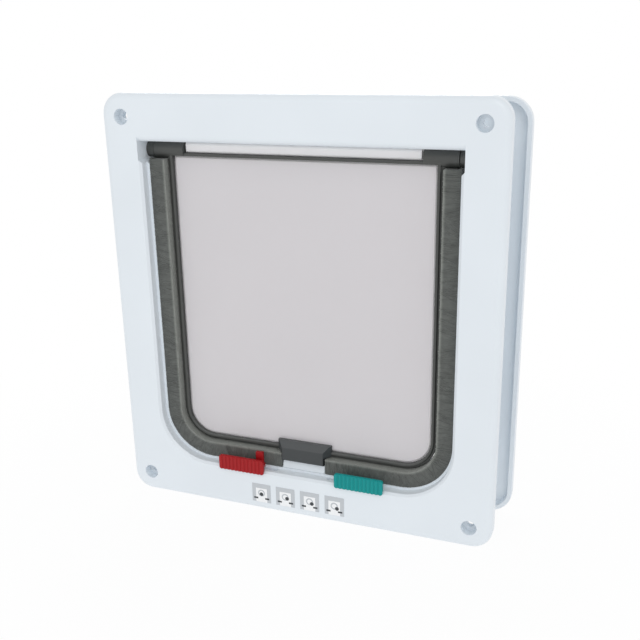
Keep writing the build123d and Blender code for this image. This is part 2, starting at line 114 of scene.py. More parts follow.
class CatFlapSizes(bpy.types.PropertyGroup):
    """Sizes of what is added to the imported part."""
    frame_ease: length_property("Frame ease", "Rounding of the frames' moulded edges", 0.35)
    rim_ease: length_property("Rim ease", "Rounding of the flap's dark surround", 0.42)
    rim_corner: length_property("Rim corner", "Radius of the surround's lower corners", 20.0)
    rim_gap: length_property("Rim gap", "How far below the pile's top the surround's rounding stops", 1.5)
    front_band: length_property("Front band", "Depth behind the indoor face in which edges are rounded", 4.2)
    pocket_room: length_property("Pocket room", "Room round a hinge bush where edges stay crisp", 8.0)
    small_ease: length_property("Small ease", "Rounding of the small pieces' moulded edges", 0.22)
    housing_gap: length_property("Housing gap", "Room between the sill's magnet housing and the pile", 0.4)
    housing_seat: length_property("Housing seat", "How far the housing goes down into the sill", 0.4)
    housing_room: length_property("Housing room", "Room between the housing and the magnet holder", 0.9)
    housing_slope: length_property("Housing slope", "How far the housing's front leans back to its top", 1.2)
    housing_ease: length_property("Housing ease", "Rounding of the housing's edges", 0.5)
    pile_corner: length_property("Pile corner", "Radius of the pile's backing at the lower corners", 29.9)
    pile_length: length_property("Pile length", "Length of the pile from its backing to its tips", 9.75)
    pile_pitch: length_property("Pile pitch", "Spacing of the tufts along and across the strip", 0.62)
    pile_spread: length_property("Pile spread", "How far the uppermost tufts spread towards the hubs", 0.4)
    pile_core: length_property("Pile core", "How far the dense body lies below the pile's tips", 0.3)
    pile_skin: length_property("Pile skin", "How far the dense body lies below the pile's sides", 0.2)
    pile_end: length_property("Pile end", "Length of the last short tufts, under the hinge bush", 1.4)
    tile: length_property("Tile", "Side of each sign tile", 12.4)
    tile_pitch: length_property("Tile pitch", "Spacing of the sign tiles", 16.0)
    tile_rise: length_property("Tile rise", "Height of a sign tile's middle above the standing edge", 11.8)
    tile_shift: length_property("Tile shift", "How far the row of tiles lies left of the middle", 1.4)
    tile_proud: length_property("Tile proud", "How far a sign tile stands in front of the frame", 0.12)


class CatFlapColours(bpy.types.PropertyGroup):
    """Colours of the finishes."""
    white: colour_property("White", "Moulded white of the frames", "#E6EDF3")
    grey: colour_property("Grey", "Moulded dark grey of the flap's surround", "#434543")
    holder: colour_property("Holder", "Moulded black-grey of the magnet holder", "#34383A")
    smoke: colour_property("Smoke", "Tint of the flap's panel", "#E3E0E3")
    # painted highlight on the panel's slopes, and painted light on its upper edge where shade falls
    smoke_painted_highlight: colour_property("Smoke edge", "Tint of the panel's cut edges", "#FCFBFC")
    pile: colour_property("Pile", "Roots of the pile", "#5C5F5C")
    pile_tip: colour_property("Pile tip", "Tips of the pile", "#888B86")
    red: colour_property("Red", "Slider that locks the flap inwards", "#A31218")
    teal: colour_property("Teal", "Slider that locks the flap outwards", "#009190")
    sign: colour_property("Sign", "Ground of the sign tiles", "#C3C8CD")
    sign_pale: colour_property("Sign opening", "Opening drawn on the sign tiles", "#F6F8FA")
    sign_dark: colour_property("Sign marks", "Marks drawn on the sign tiles", "#33383C")


# Colours that belong to a material and not to this flap
STEEL = "#C4C6C8"
FERRITE = "#1C1D1E"
FERRITE_GRIT = "#3A3B3C"
# painted light: the paler grey that upper faces are mixed towards, as if lit from above
PAINTED_TOP_LIGHT = "#B4B6B6"
STUDIO_WHITE = "#F4F5F6"


def add_node(tree, kind, settings=None, inputs=None):
    """Add a node with its settings; an input is a plain value, or a node and its output to link from."""
    node = tree.nodes.new(kind)
    for name, value in (settings or {}).items():
        setattr(node, name, value)
    for name, value in (inputs or {}).items():
        if isinstance(value, tuple) and isinstance(value[0], bpy.types.Node):
            tree.links.new(value[0].outputs[value[1]], node.inputs[name])
        else:
            node.inputs[name].default_value = value
    return node


def new_material(name):
    """An empty material and its node tree."""
    material = bpy.data.materials.new(name)
    material.use_nodes = True
    material.node_tree.nodes.clear()
    return material, material.node_tree


def rgba(colour, factor=1.0):
    """A colour for a socket, lighter or darker by a factor."""
    return (*(min(c * factor, 1.0) for c in colour), 1.0)


def moulded_plastic(name, colour, gloss, grain_mm, grain_depth_mm, ior=1.54, painted_top_share=0.0):
    """Injection-moulded plastic: slight flow marks in its tone, uneven gloss and the tool's fine grain, with
    painted light that lightens its upper faces, as if lit from above."""
    material, tree = new_material(name)
    place = add_node(tree, "ShaderNodeTexCoord")
    flow = add_node(tree, "ShaderNodeTexNoise", None, {
        "Vector": (place, "Object"), "Scale": 1 / (45 * MM), "Detail": 2.0, "Roughness": 0.4})
    tone = add_node(tree, "ShaderNodeMix", {"data_type": "RGBA"}, {
        0: (flow, "Fac"), 6: rgba(colour, 0.965), 7: rgba(colour, 1.035)})
    # Painted light: upper faces lighten towards a paler grey, standing in for light from above
    if painted_top_share:
        facing = add_node(tree, "ShaderNodeSeparateXYZ", None, {"Vector": (place, "Normal")})
        painted_top_mask = add_node(tree, "ShaderNodeMapRange", None, {
            "Value": (facing, "Z"), "From Min": 0.2, "From Max": 1.0, "To Max": painted_top_share})
        tone = add_node(tree, "ShaderNodeMix", {"data_type": "RGBA"}, {
            0: (painted_top_mask, "Result"), 6: (tone, 2), 7: rgba(linear(PAINTED_TOP_LIGHT))})
    rough = add_node(tree, "ShaderNodeTexNoise", None, {
        "Vector": (place, "Object"), "Scale": 1 / (6 * MM), "Detail": 3.0})
    matt = add_node(tree, "ShaderNodeMapRange", None, {
        "Value": (rough, "Fac"), "From Min": 0.3, "From Max": 0.7,
        "To Min": gloss - 0.04, "To Max": gloss + 0.05})
    grain = add_node(tree, "ShaderNodeTexNoise", None, {
        "Vector": (place, "Object"), "Scale": 1 / (grain_mm * MM), "Detail": 2.0})
    bump = add_node(tree, "ShaderNodeBump", None, {
        "Strength": 0.6, "Distance": grain_depth_mm * MM, "Height": (grain, "Fac")})
    shader = add_node(tree, "ShaderNodeBsdfPrincipled", None, {
        "Base Color": (tone, 2), "Roughness": (matt, "Result"), "IOR": ior, "Normal": (bump, "Normal")})
    add_node(tree, "ShaderNodeOutputMaterial", None, {"Surface": (shader, "BSDF")})
    return material


def white_abs(colours):
    """White ABS from a polished tool: a clean soft gloss with a barely seen orange peel."""
    return moulded_plastic(
        "polished_white_abs", colours.white, gloss=0.36, grain_mm=1.6, grain_depth_mm=0.010
    )


def grey_abs(name, colour):
    """Dark grey ABS from a spark-eroded tool: matt, with a fine even grain and painted light on its upper
    faces.
    """
    return moulded_plastic(name, colour, gloss=0.42, grain_mm=0.5, grain_depth_mm=0.030, painted_top_share=0.10)


def bright_abs(name, colour):
    """Red or teal ABS: solid colour with a soft, weak gloss that lights the edges of the grip."""
    return moulded_plastic(name, colour, gloss=0.45, grain_mm=0.9, grain_depth_mm=0.012, ior=1.36)


def smoked_acrylic(name, colour, clearness):
    """Lightly smoked cast acrylic: an even milky tint that lets some light through, with a polished skin."""
    material, tree = new_material(name)
    place = add_node(tree, "ShaderNodeTexCoord")
    cloud = add_node(tree, "ShaderNodeTexNoise", None, {
        "Vector": (place, "Object"), "Scale": 1 / (70 * MM), "Detail": 1.0})
    tone = add_node(tree, "ShaderNodeMix", {"data_type": "RGBA"}, {
        0: (cloud, "Fac"), 6: rgba(colour, 0.985), 7: rgba(colour, 1.015)})
    wave = add_node(tree, "ShaderNodeTexNoise", None, {
        "Vector": (place, "Object"), "Scale": 1 / (30 * MM), "Detail": 1.0})
    bump = add_node(tree, "ShaderNodeBump", None, {
        "Strength": 0.2, "Distance": 0.02 * MM, "Height": (wave, "Fac")})
    shader = add_node(tree, "ShaderNodeBsdfPrincipled", None, {
        "Base Color": (tone, 2), "Roughness": 0.30, "IOR": 1.49,
        "Transmission Weight": clearness, "Normal": (bump, "Normal")})
    add_node(tree, "ShaderNodeOutputMaterial", None, {"Surface": (shader, "BSDF")})
    return material


def pile_fibre(colours):
    """Polypropylene pile: matt fibres in streaks and leaning clumps, paler at the cut tips."""
    material, tree = new_material("pile_fibre")
    fibre = add_node(tree, "ShaderNodeAttribute", {"attribute_name": "fibre"})
    parts = add_node(tree, "ShaderNodeSeparateXYZ", None, {"Vector": (fibre, "Vector")})
    thin = add_node(tree, "ShaderNodeMapping", None, {
        "Vector": (fibre, "Vector"), "Scale": (1 / (0.45 * MM), 1 / (0.45 * MM), 0.8)})
    streak = add_node(tree, "ShaderNodeTexNoise", None, {
        "Vector": (thin, "Vector"), "Scale": 1.0, "Detail": 2.0, "Roughness": 0.6})
    wide = add_node(tree, "ShaderNodeMapping", None, {
        "Vector": (fibre, "Vector"), "Scale": (1 / (2.4 * MM), 1 / (3 * MM), 2.6)})
    clump = add_node(tree, "ShaderNodeTexNoise", None, {
        "Vector": (wide, "Vector"), "Scale": 1.0, "Detail": 2.0})
    both = add_node(tree, "ShaderNodeMix", None, {0: 0.65, 2: (streak, "Fac"), 3: (clump, "Fac")})
    shade = add_node(tree, "ShaderNodeMapRange", None, {
        "Value": (both, 0), "From Min": 0.33, "From Max": 0.67})
    body = add_node(tree, "ShaderNodeMix", {"data_type": "RGBA"}, {
        0: (shade, "Result"), 6: rgba(colours.pile, 0.80), 7: rgba(colours.pile, 1.16)})
    reach = add_node(tree, "ShaderNodeMapRange", {"interpolation_type": "SMOOTHSTEP"}, {
        "Value": (parts, "Z"), "From Min": 0.78, "From Max": 0.97})
    tone = add_node(tree, "ShaderNodeMix", {"data_type": "RGBA"}, {
        0: (reach, "Result"), 6: (body, 2), 7: rgba(colours.pile_tip)})
    shader = add_node(tree, "ShaderNodeBsdfPrincipled", None, {
        "Base Color": (tone, 2), "Roughness": 0.8, "IOR": 1.49, "Sheen Weight": 0.3, "Sheen Roughness": 0.5})
    add_node(tree, "ShaderNodeOutputMaterial", None, {"Surface": (shader, "BSDF")})
    return material


def drawn_steel():
    """Cold-drawn steel wire: bright, with fine lines along its length."""
    material, tree = new_material("drawn_steel")
    place = add_node(tree, "ShaderNodeTexCoord")
    stretch = add_node(tree, "ShaderNodeMapping", None, {
        "Vector": (place, "Object"), "Scale": (1 / (8 * MM), 1 / (0.2 * MM), 1 / (0.2 * MM))})
    lines = add_node(tree, "ShaderNodeTexNoise", None, {"Vector": (stretch, "Vector"), "Scale": 1.0})
    matt = add_node(tree, "ShaderNodeMapRange", None, {
        "Value": (lines, "Fac"), "To Min": 0.22, "To Max": 0.42})
    shader = add_node(tree, "ShaderNodeBsdfPrincipled", None, {
        "Base Color": rgba(linear(STEEL)), "Metallic": 1.0, "Roughness": (matt, "Result")})
    add_node(tree, "ShaderNodeOutputMaterial", None, {"Surface": (shader, "BSDF")})
    return material


def sintered_ferrite():
    """Sintered ferrite: near-black and dull, with a sandy ground face."""
    material, tree = new_material("sintered_ferrite")
    place = add_node(tree, "ShaderNodeTexCoord")
    grit = add_node(tree, "ShaderNodeTexNoise", None, {
        "Vector": (place, "Object"), "Scale": 1 / (0.4 * MM), "Detail": 4.0})
    tone = add_node(tree, "ShaderNodeMix", {"data_type": "RGBA"}, {
        0: (grit, "Fac"), 6: rgba(linear(FERRITE)), 7: rgba(linear(FERRITE_GRIT))})
    bump = add_node(tree, "ShaderNodeBump", None, {
        "Strength": 0.5, "Distance": 0.05 * MM, "Height": (grit, "Fac")})
    shader = add_node(tree, "ShaderNodeBsdfPrincipled", None, {
        "Base Color": (tone, 2), "Roughness": 0.62, "Normal": (bump, "Normal")})
    add_node(tree, "ShaderNodeOutputMaterial", None, {"Surface": (shader, "BSDF")})
    return material


def printed_ink(name, colour):
    """Pad-printed ink: flat colour with faint mottling and a satin skin."""
    material, tree = new_material(name)
    place = add_node(tree, "ShaderNodeTexCoord")
    mottle = add_node(tree, "ShaderNodeTexNoise", None, {
        "Vector": (place, "Object"), "Scale": 1 / (0.8 * MM), "Detail": 3.0})
    tone = add_node(tree, "ShaderNodeMix", {"data_type": "RGBA"}, {
        0: (mottle, "Fac"), 6: rgba(colour, 0.95), 7: rgba(colour, 1.05)})
    shader = add_node(tree, "ShaderNodeBsdfPrincipled", None, {"Base Color": (tone, 2), "Roughness": 0.45})
    add_node(tree, "ShaderNodeOutputMaterial", None, {"Surface": (shader, "BSDF")})
    return material


def give_finish(node, material):
    """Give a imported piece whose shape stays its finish."""
    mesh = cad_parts[node].data
    mesh.materials.clear()
    mesh.materials.append(material)


def link(name, bm, materials):
    """A new object from a finished bmesh."""
    mesh = bpy.data.meshes.new(name)
    bm.to_mesh(mesh)
    bm.free()
    for material in materials:
        mesh.materials.append(material)
    piece = bpy.data.objects.new(name, mesh)
    bpy.context.scene.collection.objects.link(piece)
    return piece


def seat(piece, body, slot, *nodes):
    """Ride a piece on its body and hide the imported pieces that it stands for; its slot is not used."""
    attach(piece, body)
    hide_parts(*nodes)


def merged_copy(node):
    """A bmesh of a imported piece, with its loose triangles joined and its flat faces made whole."""
    bm = bmesh.new()
    bm.from_mesh(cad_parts[node].data)
    bmesh.ops.remove_doubles(bm, verts=bm.verts, dist=MERGE)
    bmesh.ops.dissolve_limit(bm, angle_limit=FLAT, verts=bm.verts, edges=bm.edges)
    for face in bm.faces:
        face.smooth = True
        face.material_index = 0
    return bm


def cut_across(bm, axis, place):
    """Divide the faces where they cross a plane, so that a ring of one face becomes plain stretches."""
    normal = Vector((0, 0, 0))
    normal[axis] = 1
    bmesh.ops.bisect_plane(
        bm, geom=[*bm.verts, *bm.edges, *bm.faces], dist=SNAP, plane_co=normal * place, plane_no=normal
    )


def weigh_edges(bm, chosen=None):
    """Mark the moulded edges to be rounded."""
    weight = bm.edges.layers.float.new("bevel_weight_edge")
    for edge in bm.edges:
        if edge.calc_face_angle() > SHARP and (chosen is None or chosen(edge)):
            edge[weight] = 1.0


def copied(node, name, body, slot, materials, shape=None):
    """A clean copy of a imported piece, to stand for the plain one."""
    bm = merged_copy(node)
    if shape:
        shape(bm)
    piece = link(name, bm, materials)
    stored = piece.data.attributes.get("custom_normal")
    if stored:    # the plain piece's normals, which no longer fit
        piece.data.attributes.remove(stored)
    piece.data.set_sharp_from_angle(angle=SHARP)
    seat(piece, body, slot, node)
    return piece


def keep_flats(piece):
    """Shade a piece's flats flat and its roundings smooth."""
    flats = piece.modifiers.new("flats", "WEIGHTED_NORMAL")
    flats.keep_sharp = True


def eased(node, name, body, slot, material, width, shape=weigh_edges):
    """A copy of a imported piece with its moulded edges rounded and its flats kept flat."""
    piece = copied(node, name, body, slot, [material], shape)
    ease = piece.modifiers.new("ease", "BEVEL")
    ease.width = width
    ease.segments = 2
    ease.limit_method = "WEIGHT"
    ease.use_clamp_overlap = True
    keep_flats(piece)


def weigh_front(bm):
    """Round the indoor frame's edges that show in front, apart from the hinge pockets."""
    low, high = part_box("hinge_bush_right")
    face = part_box("front_frame")[0].y
    sizes = bpy.context.scene.cat_flap_sizes

    def in_pocket(place):
        wide = low.x - sizes.pocket_room < abs(place.x) < high.x + sizes.pocket_room
        return wide and low.z - sizes.pocket_room < place.z < high.z + sizes.pocket_room

    def shows(edge):
        ends = [vert.co for vert in edge.verts]
        ahead = all(end.y < face + sizes.front_band for end in ends)
        return ahead and not all(in_pocket(end) for end in ends)

    weigh_edges(bm, shows)


def sill_housing(sizes, material):
    """The raised white housing over the sill magnet, between the ends of the pile and under the holder."""
    pile_low, pile_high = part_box("brush_strip_right")
    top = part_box("magnet_holder")[0].z - sizes.housing_room
    half = pile_low.x - sizes.housing_gap
    low = Vector((-half, pile_low.y + sizes.housing_gap, pile_low.z - sizes.housing_seat))
    high = Vector((half, pile_high.y, top))
    middle = (low + high) / 2
    bm = bmesh.new()
    place = Matrix.Translation(middle) @ Matrix.Diagonal((*(high - low), 1))
    bmesh.ops.create_cube(bm, size=1.0, matrix=place)
    front_top = [vert for vert in bm.verts if vert.co.z > middle.z and vert.co.y < middle.y]
    bmesh.ops.translate(bm, vec=(0, sizes.housing_slope, 0), verts=front_top)
    bmesh.ops.bevel(
        bm, geom=bm.edges[:], offset=sizes.housing_ease, affect="EDGES", segments=3, profile=0.5, material=-1
    )
    for face in bm.faces:
        face.smooth = True
    piece = link("sill_housing", bm, [material])
    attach(piece, "base")
    keep_flats(piece)


class CATFLAP_OT_frames(bpy.types.Operator):
    """Finish the indoor and outdoor frames in white, with eased edges, and add the sill's magnet housing"""
    bl_idname = "catflap.frames"
    bl_label = "Frames"

    def execute(self, context):
        sizes = context.scene.cat_flap_sizes
        white = white_abs(context.scene.cat_flap_colours)
        eased("front_frame", "indoor_frame", "base", "white_abs", white, sizes.frame_ease, weigh_front)
        eased("rear_frame", "outdoor_frame", "base", "white_abs", white, sizes.frame_ease)
        sill_housing(sizes, white)
        return {"FINISHED"}


def weigh_rim(bm):
    """Round the flap's surround below its hubs, with its ring of faces divided at the lower corners."""
    sizes = bpy.context.scene.cat_flap_sizes
    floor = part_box("flap_frame")[0].z
    panel_low, panel_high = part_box("flap_panel")
    half = panel_high.x + panel_low.z - floor    # as broad beside the panel as below it
    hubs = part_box("brush_strip_left")[1].z - sizes.rim_gap
    cut_across(bm, 2, floor + sizes.rim_corner)
    cut_across(bm, 2, hubs)
    for side in SIDES.values():
        cut_across(bm, 0, side * (half - sizes.rim_corner))
    weigh_edges(bm, lambda edge: all(vert.co.z < hubs + SNAP for vert in edge.verts))


# Panel: the second of its finishes, a paler acrylic that paints a highlight, and how much of a slope's normal
# points indoors
EDGE = 1
SLOPE = (0.5, 0.9)


def paint_edge_highlights(bm):
    """Give the slopes round the panel's raised field a painted highlight, and its thick upper edge, which
    lies in the shade of the frame's top, painted light.
    """
    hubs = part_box("hinge_bush_left")[0].z
    for face in bm.faces:
        if SLOPE[0] < -face.normal.y < SLOPE[1] or face.calc_center_median().z > hubs:
            face.material_index = EDGE


class CATFLAP_OT_flap(bpy.types.Operator):
    """Finish the flap: dark surround, smoked panel and magnet holder"""
    bl_idname = "catflap.flap"
    bl_label = "Flap"

    def execute(self, context):
        sizes = context.scene.cat_flap_sizes
        colours = context.scene.cat_flap_colours
        grey = grey_abs("grained_grey_abs", colours.grey)
        eased("flap_frame", "flap_surround", "flap", "grey_abs", grey, sizes.rim_ease, weigh_rim)
        holder = grey_abs("holder_abs", colours.holder)
        keep_flats(copied("magnet_holder", "holder_block", "flap", "grey_abs", [holder]))
        panel = smoked_acrylic("smoked_acrylic", colours.smoke, clearness=0.25)
        # A paler acrylic: painted highlight on the panel's slopes and painted light on its shaded upper edge
        edge = smoked_acrylic("acrylic_edge_painted_highlight", colours.smoke_painted_highlight, clearness=0.10)
        copied("flap_panel", "flap_window", "flap", "clear_acrylic", [panel, edge], paint_edge_highlights)
        return {"FINISHED"}


class CATFLAP_OT_hinges(bpy.types.Operator):
    """Finish the hinge pins and bushes"""
    bl_idname = "catflap.hinges"
    bl_label = "Hinges"

    def execute(self, context):
        sizes = context.scene.cat_flap_sizes
        grey = grey_abs("bush_abs", context.scene.cat_flap_colours.grey)
        steel = drawn_steel()
        for side in SIDES:
            eased(f"hinge_bush_{side}", f"bush_{side}", "base", "grey_abs", grey, sizes.small_ease)
            give_finish(f"hinge_pin_{side}", steel)
        return {"FINISHED"}


class CATFLAP_OT_magnets(bpy.types.Operator):
    """Finish the magnets in the flap and under the sill"""
    bl_idname = "catflap.magnets"
    bl_label = "Magnets"

    def execute(self, context):
        ferrite = sintered_ferrite()
        for node in ("flap_magnet", "sill_magnet"):
            give_finish(node, ferrite)
        return {"FINISHED"}


class PileRoute:
    """Route of a pile strip's backing: down the tunnel wall, round the lower corner, in along the floor."""

    def __init__(self, side, corner, spread):
        low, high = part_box(f"brush_strip_{side}")
        self.side = SIDES[side]
        self.wall = max(abs(low.x), abs(high.x))
        self.end = min(abs(low.x), abs(high.x))
        self.top = high.z + spread
        self.floor = low.z
        self.front = low.y
        self.depth = high.y - low.y
        self.corner = corner
        self.hub_x = self.wall - corner
        self.hub_z = self.floor + corner
        self.drop = self.top - self.hub_z
        self.turn = corner * math.pi / 2
        self.length = self.drop + self.turn + self.hub_x - self.end

    def at(self, distance):
        """Place on the backing, and the directions into the passage and along the strip."""
        angle = min(max((distance - self.drop) / self.corner, 0.0), math.pi / 2)
        x = self.hub_x + self.corner * math.cos(angle) - max(distance - self.drop - self.turn, 0.0)
        z = self.hub_z - self.corner * math.sin(angle) + max(self.drop - distance, 0.0)
        inward = Vector((-self.side * math.cos(angle), 0, math.sin(angle)))
        along = Vector((-self.side * math.sin(angle), 0, -math.cos(angle)))
        return Vector((self.side * x, 0, z)), inward, along

    def read(self, place):
        """Distance along the strip and height above its backing, for a place in the pile."""
        x = abs(place.x)
        if place.z >= self.hub_z:
            return self.top - place.z, self.wall - x
        if x <= self.hub_x:
            return self.drop + self.turn + self.hub_x - x, place.z - self.floor
        away = Vector((x - self.hub_x, self.hub_z - place.z))
        return self.drop + self.corner * math.atan2(away.y, away.x), self.corner - away.length


# Pile: how its tufts lean and differ
LEAN_WAVES = ((0.24, 7.3 * MM), (0.20, 2.9 * MM))    # how far tufts lean together, and in what waves
LEAN_END = 8 * MM        # tufts stand straighter this near to a strip's ends
TUFT_LEAN = 0.40         # how far a tuft leans along the strip by itself
TUFT_SWAY = 0.03         # how far it leans across the strip
TUFT_STRAY = 0.3         # how far its foot strays, in spacings
TUFT_SHORTEST = 0.94     # shortest tuft, as a share of the longest
TUFT_ROOT = 0.62         # radius of its foot, in spacings
TUFT_TIP = 0.46          # radius of its tip, in spacings
TUFT_SIDES = 5
CORNER_STEPS = 16        # steps of the dense body round the lower corner


def draw_out(bm, end, vector):
    """Draw an end face out along a vector, and give what was moved."""
    moved = bmesh.ops.extrude_face_region(bm, geom=end)["geom"]
    corners = [found for found in moved if isinstance(found, bmesh.types.BMVert)]
    bmesh.ops.translate(bm, vec=vector, verts=corners)
    return moved


def add_pile_core(bm, route, reach, inset):
    """The pile's dense body: a section drawn down the wall, spun round the corner, drawn along the floor."""
    middle = (route.side * (route.wall - reach / 2), route.front + route.depth / 2, route.top)
    section = Matrix.Translation(middle) @ Matrix.Diagonal((reach / 2, route.depth / 2 - inset, 1, 1))
    bmesh.ops.create_grid(bm, x_segments=1, y_segments=1, size=1.0, matrix=section)
    moved = draw_out(bm, bm.faces[:], (0, 0, -route.drop))
    turned = bmesh.ops.spin(
        bm, geom=moved, cent=(route.side * route.hub_x, 0, route.hub_z), axis=(0, route.side, 0),
        angle=math.pi / 2, steps=CORNER_STEPS, use_merge=False,
    )["geom_last"]
    draw_out(bm, turned, (route.side * (route.end - route.hub_x), 0, 0))
    bmesh.ops.recalc_face_normals(bm, faces=bm.faces)


def add_tuft(bm, foot, direction, across, length, root, tip):
    """One clump of fibres: a slim cone from its foot."""
    side = direction.cross(across).normalized()
    axes = Matrix((side, direction.cross(side), direction)).transposed().to_4x4()
    place = Matrix.Translation(foot + direction * length / 2) @ axes
    bmesh.ops.create_cone(
        bm, cap_ends=True, segments=TUFT_SIDES, radius1=root, radius2=tip, depth=length, matrix=place
    )


def add_tuft_row(bm, route, distance, length, sizes, chance):
    """A row of fibre clumps across the strip, leaning together along it."""
    point, inward, along = route.at(distance)
    ends = max(min(distance, route.length - distance, LEAN_END), 0.0) / LEAN_END
    lean = ends * sum(height * math.sin(distance / wave) for height, wave in LEAN_WAVES)
    root, tip = TUFT_ROOT * sizes.pile_pitch, TUFT_TIP * sizes.pile_pitch
    count = int(route.depth / sizes.pile_pitch)
    for place in range(count):
        across = (place + 0.5 + chance.uniform(-TUFT_STRAY, TUFT_STRAY)) / count
        foot = point + Vector((0, route.front + across * route.depth, 0))
        slant = lean + ends * chance.uniform(-TUFT_LEAN, TUFT_LEAN)
        sway = Vector((0, chance.uniform(-TUFT_SWAY, TUFT_SWAY), 0))
        direction = (inward + along * slant + sway).normalized()
        # A leaning tuft is longer, less the rim of its tip, so that it ends level with an upright one
        reach = (length - tip * abs(slant)) * math.hypot(1, slant) * chance.uniform(TUFT_SHORTEST, 1.0)
        add_tuft(bm, foot, direction, along, reach, root, tip)


def pile_strip(side, sizes, material):
    """A strip of pile: its dense body and the fibre clumps that break its surface."""
    route = PileRoute(side, sizes.pile_corner, sizes.pile_spread)
    chance = random.Random(side)
    bm = bmesh.new()
    add_pile_core(bm, route, sizes.pile_length - sizes.pile_core, sizes.pile_skin)
    count = int(route.length / sizes.pile_pitch)
    # Each row is made by itself and then joined on, which is quick; the row above the first is the short one
    for step in range(-1, count):
        row = bmesh.new()
        length = sizes.pile_length if step >= 0 else sizes.pile_end
        add_tuft_row(row, route, (step + 0.5) * route.length / count, length, sizes, chance)
        patch = bpy.data.meshes.new("patch")
        row.to_mesh(patch)
        row.free()
        bm.from_mesh(patch)
        bpy.data.meshes.remove(patch)
    layer = bm.verts.layers.float_vector.new("fibre")
    for vert in bm.verts:
        distance, height = route.read(vert.co)
        vert[layer] = (distance, vert.co.y, height / sizes.pile_length)
    piece = link(f"pile_{side}", bm, [material])
    seat(piece, "base", "pile", f"brush_strip_{side}")


class CATFLAP_OT_pile(bpy.types.Operator):
    """Make the pile seals as rows of fibre clumps"""
    bl_idname = "catflap.pile"
    bl_label = "Pile seals"

    def execute(self, context):
        fibre = pile_fibre(context.scene.cat_flap_colours)
        for side in SIDES:
            pile_strip(side, context.scene.cat_flap_sizes, fibre)
        return {"FINISHED"}


class CATFLAP_OT_sliders(bpy.types.Operator):
    """Finish the red and teal locking sliders"""
    bl_idname = "catflap.sliders"
    bl_label = "Sliders"

    def execute(self, context):
        sizes = context.scene.cat_flap_sizes
        colours = context.scene.cat_flap_colours
        red = bright_abs("red_abs", colours.red)
        eased("red_slider", "lock_red", "red_lock", "red_plastic", red, sizes.small_ease)
        teal = bright_abs("teal_abs", colours.teal)
        eased("green_slider", "lock_teal", "green_lock", "green_plastic", teal, sizes.small_ease)
        return {"FINISHED"}


# Sign tiles: inks, and sizes and places as shares of a tile's side
GROUND, PALE, DARK = range(3)
OPENING = (0.60, 0.76)     # width and height
OPENING_DROP = 0.12        # its middle, below the tile's
RING = 0.19                # radius of the ring, and of its hole
RING_HOLE = 0.12
MARK = 0.10                # radius of the dark mark, and its place on each tile
MARKS = ((0.0, -0.06), (0.10, -0.06), (0.12, -0.10), (0.14, -0.12))
BAR = (0.22, 0.09)         # width and height of the bar at each side
BAR_OUT = 0.30             # its middle, beside and below the tile's
BAR_DROP = 0.29
LAYERS = 5                 # inks laid one on another
LAYER = 0.3                # how far each stands in front of the one below, times the tile's own
DISC_SIDES = 20


def add_plate(bm, index, x, z, width, height, face, depth):
    """A thin plate on the frame's front, in one of the sign's inks."""
    place = Matrix.Translation((x, face - depth / 2, z)) @ Matrix.Diagonal((width, depth, height, 1))
    made = bmesh.ops.create_cube(bm, size=1.0, matrix=place)
    for found in {f for vert in made["verts"] for f in vert.link_faces}:
        found.material_index = index


def add_disc(bm, index, x, z, radius, face, depth):
    """A thin round plate on the frame's front, in one of the sign's inks."""
    place = Matrix.Translation((x, face - depth / 2, z)) @ Matrix.Rotation(math.pi / 2, 4, "X")
    made = bmesh.ops.create_cone(
        bm, cap_ends=True, segments=DISC_SIDES, radius1=radius, radius2=radius, depth=depth, matrix=place
    )
    for found in {f for vert in made["verts"] for f in vert.link_faces}:
        found.material_index = index


class CATFLAP_OT_signs(bpy.types.Operator):
    """Make the four sign tiles below the sliders from plain shapes"""
    bl_idname = "catflap.signs"
    bl_label = "Sign tiles"

    def execute(self, context):
        sizes = context.scene.cat_flap_sizes
        colours = context.scene.cat_flap_colours
        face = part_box("front_frame")[0].y
        side = sizes.tile
        depths = [sizes.tile_proud * (1 + LAYER * count) for count in range(LAYERS)]
        bm = bmesh.new()
        for index, mark in enumerate(MARKS):
            x = (index - (len(MARKS) - 1) / 2) * sizes.tile_pitch - sizes.tile_shift
            z = sizes.tile_rise
            add_plate(bm, GROUND, x, z, side, side, face, depths[0])
            add_plate(bm, PALE, x, z - OPENING_DROP * side, OPENING[0] * side, OPENING[1] * side,
                      face, depths[1])
            add_disc(bm, GROUND, x, z, RING * side, face, depths[2])
            add_disc(bm, PALE, x, z, RING_HOLE * side, face, depths[3])
            add_disc(bm, DARK, x + mark[0] * side, z + mark[1] * side, MARK * side, face, depths[4])
            for end in SIDES.values():
                add_plate(bm, DARK, x + end * BAR_OUT * side, z - BAR_DROP * side,
                          BAR[0] * side, BAR[1] * side, face, depths[2])
        inks = [
            printed_ink("sign_ground", colours.sign),
            printed_ink("sign_opening", colours.sign_pale),
            printed_ink("sign_marks", colours.sign_dark),
        ]
        piece = link("sign_tiles", bm, inks)
        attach(piece, "base")
        return {"FINISHED"}


# Studio: metres and watts
LAMPS = (
    # name, place, side of the soft box, power
    ("key", Vector((1.25, -2.2, 2.6)), 1.8, 21.0),
    ("back", Vector((-0.45, 1.15, 0.75)), 0.8, 4.5),
    ("fill", Vector((-1.5, -2.6, 0.6)), 1.6, 4.0),
)
SKY_LIGHT = 0.70           # strength of the white surroundings as a light
FLOOR_LIGHT = 0.70         # how much of the floor's light is its own and not bounced
FLOOR_HALF = 4.0           # half the floor's side
SHADOW_NEAR = 0.12         # distance from the part's middle up to which the floor shows its shadow
SHADOW_FAR = 0.35          # distance past which the floor is plain white
SHADOW_SHARE = 0.95        # plain white in the floor near the part


